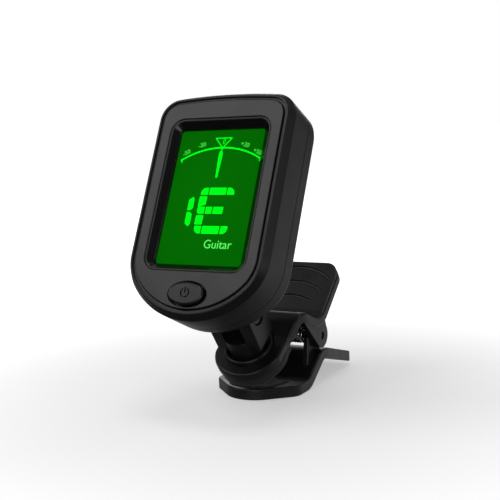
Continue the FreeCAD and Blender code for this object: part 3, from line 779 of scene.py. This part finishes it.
# %% Wind the spring
WIRE_RADIUS = 0.28          # millimetres, as are the lengths below
COIL_RADIUS = 1.7
COIL_PITCH = 0.64
FULL_TURNS = 14
LOW_LEAN = -17.0            # slope of the leg on the tail, in degrees
HIGH_LEAN = 25.0            # slope of the leg under the lever, in degrees
LOW_LEG = 6.4
HIGH_LEG = 6.2
pin = Vector(joints["jaw_open"]["pos_m"]) / MM


def on_coil(x, degrees):
    """Point of the coil in millimetres, at an angle about the hinge pin."""
    angle = math.radians(degrees)
    return Vector((x, pin.y + COIL_RADIUS * math.cos(angle), pin.z + COIL_RADIUS * math.sin(angle)))


def along(point, degrees, length):
    """Point further on in the plane across the pin, at a slope in degrees."""
    angle = math.radians(degrees)
    return point + Vector((0, math.cos(angle), math.sin(angle))) * length


def loops(x, start, stop, pitch):
    """Points of a winding about the pin, eighteen to a turn, from one angle down to another."""
    steps = max(2, round((start - stop) / 20))
    turn = (start - stop) / steps
    return [on_coil(x + pitch * turn * k / 360, start - turn * k) for k in range(steps + 1)]


# %% Sweep the wire
def wire(name, path, body):
    """Round wire along a path in millimetres, with closed ends."""
    curve = bpy.data.curves.new(name, "CURVE")
    curve.dimensions = "3D"
    curve.bevel_depth = WIRE_RADIUS * MM
    curve.bevel_resolution = 3
    curve.use_fill_caps = True
    line = curve.splines.new("POLY")
    line.points.add(len(path) - 1)
    for point, place in zip(line.points, path):
        point.co = (*(place * MM), 1)
    holder = bpy.data.objects.new(name + "_path", curve)
    scene.collection.objects.link(holder)
    bpy.context.view_layer.update()
    mesh = bpy.data.meshes.new_from_object(holder)
    bpy.data.objects.remove(holder)
    mesh.shade_smooth()
    mesh.materials.clear()
    mesh.materials.append(spring_steel)
    piece = bpy.data.objects.new(name, mesh)
    scene.collection.objects.link(piece)
    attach(piece, body)
    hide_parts("torsion_spring")
    return piece


# %% Coil and last loop
LOOP_STEP = 2.2             # wire radii from the coil's end to the last loop
LOOP_TURN = 250             # degrees that the last loop goes round the pin
low_start = 270 + LOW_LEAN
high_end = 90 + HIGH_LEAN
coil_length = COIL_PITCH * (low_start - high_end + 360 * FULL_TURNS) / 360
coil = loops(-coil_length / 2, low_start, high_end - 360 * FULL_TURNS, COIL_PITCH)
wire("spring_coil", [along(coil[0], LOW_LEAN, LOW_LEG)] + coil, "base")
side = coil_length / 2 + LOOP_STEP * WIRE_RADIUS
last = loops(side, high_end + LOOP_TURN, high_end, 0)
wire("spring_leg", last + [along(last[-1], HIGH_LEAN, HIGH_LEG)], "upper")
print("coil of", FULL_TURNS, "turns,", round(coil_length, 2), "mm long")

# %% [markdown]
# ## Marks on the display
# The lit marks of such a display are printed segments. Each is a flat outline, drawn in the
# frame of the head in millimetres, and thickened by a few hundredths, so that it is a real piece
# between the panel and the lens.

# %% Flat outlines into thin pieces
MARK_LOW = -1.905           # height of the marks' underside and top in the head, in millimetres
MARK_HIGH = -1.845


def thin_piece(name, outlines, material):
    """Joins closed outlines of (x, y) points in millimetres into one thin piece on the head."""
    drawn = bmesh.new()
    for outline in outlines:
        lower = [drawn.verts.new(HEAD @ mm(x, y, MARK_LOW)) for x, y in outline]
        upper = [drawn.verts.new(HEAD @ mm(x, y, MARK_HIGH)) for x, y in outline]
        drawn.faces.new(upper)
        drawn.faces.new(list(reversed(lower)))
        for i in range(len(outline)):
            k = (i + 1) % len(outline)
            drawn.faces.new((lower[i], lower[k], upper[k], upper[i]))
    bmesh.ops.recalc_face_normals(drawn, faces=drawn.faces)
    mesh = bpy.data.meshes.new(name)
    drawn.to_mesh(mesh)
    drawn.free()
    mesh.materials.append(material)
    piece = bpy.data.objects.new(name, mesh)
    scene.collection.objects.link(piece)
    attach(piece, "head")
    print(name, "has", len(outlines), "outlines")
    return piece


def rounded(points, radii, steps=6):
    """Closed outline whose corners are rounded, each by its own radius, going anticlockwise."""
    out = []
    count = len(points)
    for i, (point, radius) in enumerate(zip(points, radii)):
        here = Vector(point)
        if radius == 0:
            out.append(tuple(here))
            continue
        back = (Vector(points[i - 1]) - here).normalized()
        ahead = (Vector(points[(i + 1) % count]) - here).normalized()
        half = back.angle(ahead) / 2
        start = here + back * radius / math.tan(half)
        stop = here + ahead * radius / math.tan(half)
        centre = here + (back + ahead).normalized() * radius / math.sin(half)
        for k in range(steps + 1):
            spoke = (start - centre).lerp(stop - centre, k / steps)
            out.append(tuple(centre + spoke.normalized() * radius))
    return out


# %% [markdown]
# ### Note and string number
# The large letter is built of leaning blocks, like the segments of a clock, with fine gaps that
# let the panel show. A "1" of two blocks stands in front of it for the string.

# %% Note letter and string number
SLANT = 0.04                # sideways shift per millimetre of height
NOTE_BASE = -1.1            # height at which a leaning block keeps its place


def block(left, right, low, high, corner=(0, 0, 0, 0), low_left=None):
    """Leaning block. corner gives the radii, anticlockwise from the lower left."""
    foot = low if low_left is None else low_left
    points = [(left, foot), (right, low), (right, high), (left, high)]
    leaned = [(x + (y - NOTE_BASE) * SLANT, y) for x, y in points]
    return rounded(leaned, corner)


note = [
    block(-2.62, -1.10, 2.06, 3.45, (0, 0, 0, 1.1)),
    block(-0.80, 2.78, 2.06, 3.45),
    block(3.08, 4.62, 2.06, 3.45, (0, 0, 1.1, 0)),
    block(-2.66, -1.06, 0.08, 1.72, (0, 0, 0, 0), -0.42),
    block(-2.60, -1.06, -1.72, -0.36, (0.5, 0, 0, 0.5)),
    block(-0.76, 0.56, -1.72, -0.36),
    block(0.86, 2.98, -1.72, -0.36),
    block(-2.52, -0.94, -3.86, -2.06, (0, 0, 0, 0)),
    block(-2.36, -0.90, -5.65, -4.14, (1.1, 0, 0, 0)),
    block(-0.58, 3.08, -5.65, -4.14),
    block(3.40, 4.84, -5.65, -4.14, (0, 1.1, 0, 0)),
]
number = [
    [(-4.82, -1.05), (-4.20, -1.05), (-3.66, -0.62), (-3.66, 1.10), (-3.95, 1.62), (-4.82, 1.05)],
    [(-4.82, -1.41), (-4.20, -1.41), (-3.66, -1.85), (-3.66, -3.75), (-4.05, -4.27), (-4.82, -3.70)],
]
thin_piece("display_note", note + [list(reversed(o)) for o in number], lit_mark)

# %% [markdown]
# ### Scale and needle
# A shallow arc with a tick at each end is the tuning scale. Its circle is worked out from three
# points, which are easier to read off than a centre and a radius. A small triangle stands above
# its middle, and the needle hangs under it, so it shows a string that is in tune.

# %% Scale arc, pointer and needle
ARC_LEFT = Vector((-8.5, 9.15))
ARC_TOP = Vector((0.2, 11.57))
ARC_RIGHT = Vector((9.0, 9.2))


def circle_through(a, b, c):
    """Centre and radius of the circle through three points."""
    ab = b - a
    ac = c - a
    turn = 2 * (ab.x * ac.y - ab.y * ac.x)
    x = (ac.y * ab.length_squared - ab.y * ac.length_squared) / turn
    y = (ab.x * ac.length_squared - ac.x * ab.length_squared) / turn
    return a + Vector((x, y)), Vector((x, y)).length


def ring_band(centre, radius, width, start, stop, steps):
    """Curved band between two angles, in radians."""
    inner = []
    outer = []
    for k in range(steps + 1):
        angle = start + (stop - start) * k / steps
        spoke = Vector((math.cos(angle), math.sin(angle)))
        inner.append(tuple(centre + spoke * (radius - width / 2)))
        outer.append(tuple(centre + spoke * (radius + width / 2)))
    return outer + list(reversed(inner))


def stroke(start, stop, width):
    """Straight line of a given width."""
    a = Vector(start)
    b = Vector(stop)
    side = (b - a).normalized().orthogonal() * width / 2
    return [tuple(a + side), tuple(b + side), tuple(b - side), tuple(a - side)]


arc_centre, arc_radius = circle_through(ARC_LEFT, ARC_TOP, ARC_RIGHT)
arc_start = math.atan2(*(ARC_RIGHT - arc_centre).yx)
arc_stop = math.atan2(*(ARC_LEFT - arc_centre).yx)
scale_marks = [ring_band(arc_centre, arc_radius, 0.30, arc_start, arc_stop, 48)]
for end in (ARC_LEFT, ARC_RIGHT):
    inward = (arc_centre - end).normalized()
    scale_marks.append(stroke(end - inward * 0.15, end + inward * 0.55, 0.24))
scale_marks.append(stroke((0.25, 11.5), (0.25, 11.05), 0.30))
pointer = [(-1.55, 13.55), (2.05, 13.55), (0.28, 11.55)]
for i in range(3):
    scale_marks.append(stroke(pointer[i], pointer[(i + 1) % 3], 0.20))
thin_piece("display_scale", scale_marks, lit_mark)

NEEDLE_X = 0.17
HALF_WIDTHS = ((5.5, 0.20), (10.0, 0.42), (10.9, 0.26))     # height, half width of the needle
needle = [(NEEDLE_X + half, y) for y, half in HALF_WIDTHS]
needle += [(NEEDLE_X - half, y) for y, half in reversed(HALF_WIDTHS)]
thin_piece("display_needle", [rounded(needle, (0, 0.5, 0.2, 0.2, 0.5, 0))], lit_mark)

# %% [markdown]
# ### Figures and mode word
# Small figures label the scale in cents, and a plain word in the corner names the kind of
# instrument. They are text outlines turned into thin meshes.

# %% Figures on the scale
CAP_SHARE = 0.72            # height of a capital as a share of the font's size


def lettering(name, text, x, y, height, degrees, material, squeeze=1.0, shear=0.0):
    """Text centred on (x, y) in millimetres on the head, turned by degrees, as a thin mesh."""
    curve = bpy.data.curves.new(name, "FONT")
    curve.body = text
    curve.align_x = "CENTER"
    curve.align_y = "CENTER"
    curve.size = height * MM / CAP_SHARE
    curve.extrude = (MARK_HIGH - MARK_LOW) / 2 * MM
    curve.shear = shear
    curve.resolution_u = 4
    holder = bpy.data.objects.new(name + "_text", curve)
    scene.collection.objects.link(holder)
    bpy.context.view_layer.update()
    mesh = bpy.data.meshes.new_from_object(holder)
    bpy.data.objects.remove(holder)
    place = Matrix.Translation(mm(x, y, (MARK_HIGH + MARK_LOW) / 2))
    place = place @ Matrix.Rotation(math.radians(degrees), 4, "Z")
    mesh.transform(HEAD @ place @ Matrix.Diagonal((squeeze, 1, 1, 1)))
    mesh.materials.clear()
    mesh.materials.append(material)
    piece = bpy.data.objects.new(name, mesh)
    scene.collection.objects.link(piece)
    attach(piece, "head")
    return piece


lettering("figure_minus_50", "-50", -7.6, 10.7, 0.92, 25, lit_line)
lettering("figure_minus_20", "-20", -4.4, 12.2, 0.92, 15, lit_line)
lettering("figure_zero", "0", 0.33, 12.75, 1.1, 0, lit_mark, 0.8, 0.2)
lettering("figure_plus_20", "+20", 5.1, 12.1, 0.92, -15, lit_line)
lettering("figure_plus_50", "+50", 8.05, 10.6, 0.92, -25, lit_line)
lettering("mode_word", "Guitar", 3.26, -7.75, 1.72, 0, lit_word, 0.97)
